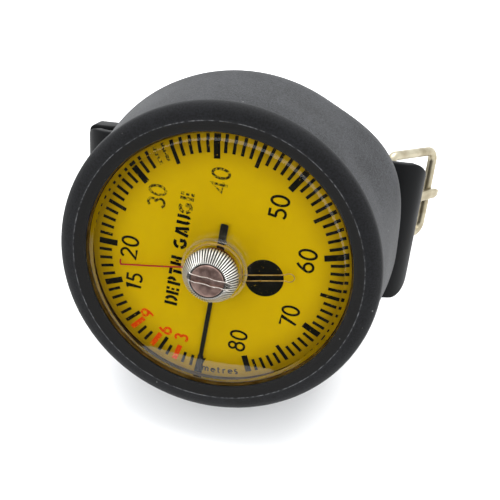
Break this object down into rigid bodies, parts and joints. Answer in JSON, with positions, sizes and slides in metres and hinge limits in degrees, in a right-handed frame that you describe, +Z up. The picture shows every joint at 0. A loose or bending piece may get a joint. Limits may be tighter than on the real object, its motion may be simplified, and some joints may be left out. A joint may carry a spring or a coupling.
{
  "type": "wrist depth gauge",
  "caption": "Analogue oil-filled wrist depth gauge in a rubber boot, with a reset knob on its domed lens, a rubber strap and a wire pin buckle.",
  "frame": {"origin": "centre of the bounding box on the surface it stands on, under the boot", "axes": "+Z up; +X along the strap towards the buckle side; the dial faces -Y and up, tilted back from the vertical"},
  "size_m": [0.105, 0.1028, 0.0784],
  "materials": {
    "boot_rubber": "fine matte",
    "strap_rubber": "matte",
    "seal_rubber": "matte",
    "clear_acrylic": "clear, polished",
    "brass": "turned",
    "bronze": "drawn",
    "steel": "turned",
    "yellow_enamel": "matte enamel, printed",
    "black_paint": "satin",
    "red_paint": "satin",
    "turned_aluminium": "turned and knurled",
    "tarnished_nickel": "tarnished",
    "nickel_plate": "bright plate"
  },
  "bodies": {
    "gauge": {"rubber_boot": "boot_rubber", "case_cup": "brass", "lens": "clear_acrylic", "lens_gasket": "seal_rubber", "bezel_ring": "brass", "dial_plate": "yellow_enamel", "pressure_diaphragm": "seal_rubber", "diaphragm_ring": "brass", "diaphragm_screw_1": "steel", "diaphragm_screw_2": "steel", "diaphragm_screw_3": "steel", "oil_fill_screw": "brass", "oil_fill_seal": "seal_rubber", "knob_o_ring": "seal_rubber", "knob_spring_washer": "bronze", "hairspring": "bronze", "upper_plate": "brass", "lower_plate": "brass", "pillar_1": "brass", "pillar_2": "brass", "pillar_3": "brass", "pillar_4": "brass", "plate_screw_1": "steel", "plate_screw_2": "steel", "plate_screw_3": "steel", "plate_screw_4": "steel", "bourdon_tube": "bronze", "tube_tip": "brass", "tube_socket": "brass", "socket_screw_1": "steel", "socket_screw_2": "steel", "wrist_strap": "strap_rubber"},
    "sector": {"sector_gear": "brass", "sector_arbor": "steel", "link_pin": "steel"},
    "link": {"link": "brass"},
    "pointer": {"main_pointer": "black_paint", "pointer_hub": "brass", "pointer_arbor": "steel"},
    "knob": {"reset_knob": "turned_aluminium", "reset_knob_screw": "tarnished_nickel", "knob_shaft": "steel", "max_depth_hand": "red_paint"},
    "buckle": {"buckle_frame": "nickel_plate"},
    "prong": {"buckle_prong": "nickel_plate"},
    "keeper": {"strap_keeper": "strap_rubber"}
  },
  "joints": [
    {"name": "sector_turn", "type": "hinge", "parent": "gauge", "child": "sector", "pos_m": [0.0106, -0.02359, 0.03994], "axis": [0, -0.8781, 0.4785], "range_deg": [0, 37.2], "stiffness_Nm_per_rad": 0.004, "springref_deg": -2.86},
    {"name": "link_turn", "type": "hinge", "parent": "sector", "child": "link", "pos_m": [0.01515, -0.02362, 0.03759], "axis": [0, -0.8781, 0.4785], "range_deg": [-37.2, 0]},
    {"name": "pointer_turn", "type": "hinge", "parent": "gauge", "child": "pointer", "pos_m": [-0.00133, -0.02466, 0.04195], "axis": [0, -0.8781, 0.4785], "range_deg": [-334.8, 0]},
    {"name": "knob_turn", "type": "hinge", "parent": "gauge", "child": "knob", "pos_m": [-0.00133, -0.02466, 0.04195], "axis": [0, -0.8781, 0.4785], "range_deg": [-266.2, 68.8]},
    {"name": "buckle_turn", "type": "hinge", "parent": "gauge", "child": "buckle", "pos_m": [0.03544, 0.0151, 0.02644], "axis": [0, -0.4785, -0.8781], "range_deg": [-60, 25]},
    {"name": "prong_turn", "type": "hinge", "parent": "buckle", "child": "prong", "pos_m": [0.03544, 0.0151, 0.02644], "axis": [0, -0.4785, -0.8781], "range_deg": [0, 45]},
    {"name": "keeper_slide", "type": "slide", "parent": "gauge", "child": "keeper", "axis": [-0.0872, 0.8747, -0.4767], "range_m": [-0.009, 0.003]}
  ],
  "couplings": [
    {"joint": "pointer_turn", "follows": "sector_turn", "ratio": -9},
    {"joint": "link_turn", "follows": "sector_turn", "ratio": -1}
  ]
}
